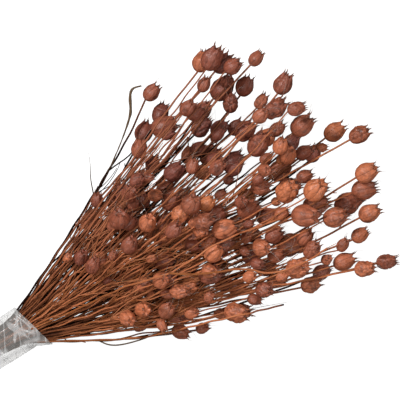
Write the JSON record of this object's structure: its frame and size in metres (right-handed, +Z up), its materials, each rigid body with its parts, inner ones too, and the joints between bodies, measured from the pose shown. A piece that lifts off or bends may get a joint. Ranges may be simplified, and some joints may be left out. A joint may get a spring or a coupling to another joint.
{
  "type": "bunch of dried nigella seed pods",
  "caption": "Bunch of dried nigella seed pods on branching stems, gathered in a clear film wrap and lying on its side.",
  "frame": {"origin": "on the flat underside of the film wrap, where the bunch rests", "axes": "+X along the bunch from the cut ends to the pods, +Y across the fan, +Z up from the surface it lies on"},
  "size_m": [0.4837, 0.2657, 0.1368],
  "materials": {
    "dried_plant": "matt, papery and creased, red-brown pods on orange-brown stems",
    "clear_film": "clear, glossy and crumpled"
  },
  "bodies": {
    "root": {"film_wrap": "clear_film", "stem_01": "dried_plant", "stem_02": "dried_plant", "stem_03": "dried_plant", "stem_04": "dried_plant", "stem_05": "dried_plant", "stem_06": "dried_plant", "stem_07": "dried_plant", "stem_08": "dried_plant", "stem_09": "dried_plant", "stem_10": "dried_plant", "stem_11": "dried_plant", "stem_12": "dried_plant", "stem_13": "dried_plant", "stem_14": "dried_plant", "stem_15": "dried_plant", "stem_16": "dried_plant", "stem_17": "dried_plant", "stem_18": "dried_plant", "stem_19": "dried_plant", "stem_20": "dried_plant", "stem_21": "dried_plant", "stem_22": "dried_plant", "stem_23": "dried_plant", "stem_24": "dried_plant", "stem_25": "dried_plant", "stem_26": "dried_plant", "stem_27": "dried_plant", "stem_28": "dried_plant", "stem_29": "dried_plant", "stem_30": "dried_plant", "stem_31": "dried_plant", "stem_32": "dried_plant", "stem_33": "dried_plant", "stem_34": "dried_plant", "stem_35": "dried_plant", "stem_36": "dried_plant", "stem_37": "dried_plant", "stem_38": "dried_plant", "stem_39": "dried_plant", "stem_40": "dried_plant", "stem_41": "dried_plant", "stem_42": "dried_plant", "stem_43": "dried_plant", "stem_44": "dried_plant", "stem_45": "dried_plant", "stem_46": "dried_plant", "stem_47": "dried_plant", "stem_48": "dried_plant", "stem_49": "dried_plant", "stem_50": "dried_plant", "stem_51": "dried_plant", "stem_52": "dried_plant", "stem_53": "dried_plant", "stem_54": "dried_plant"}
  },
  "joints": []
}
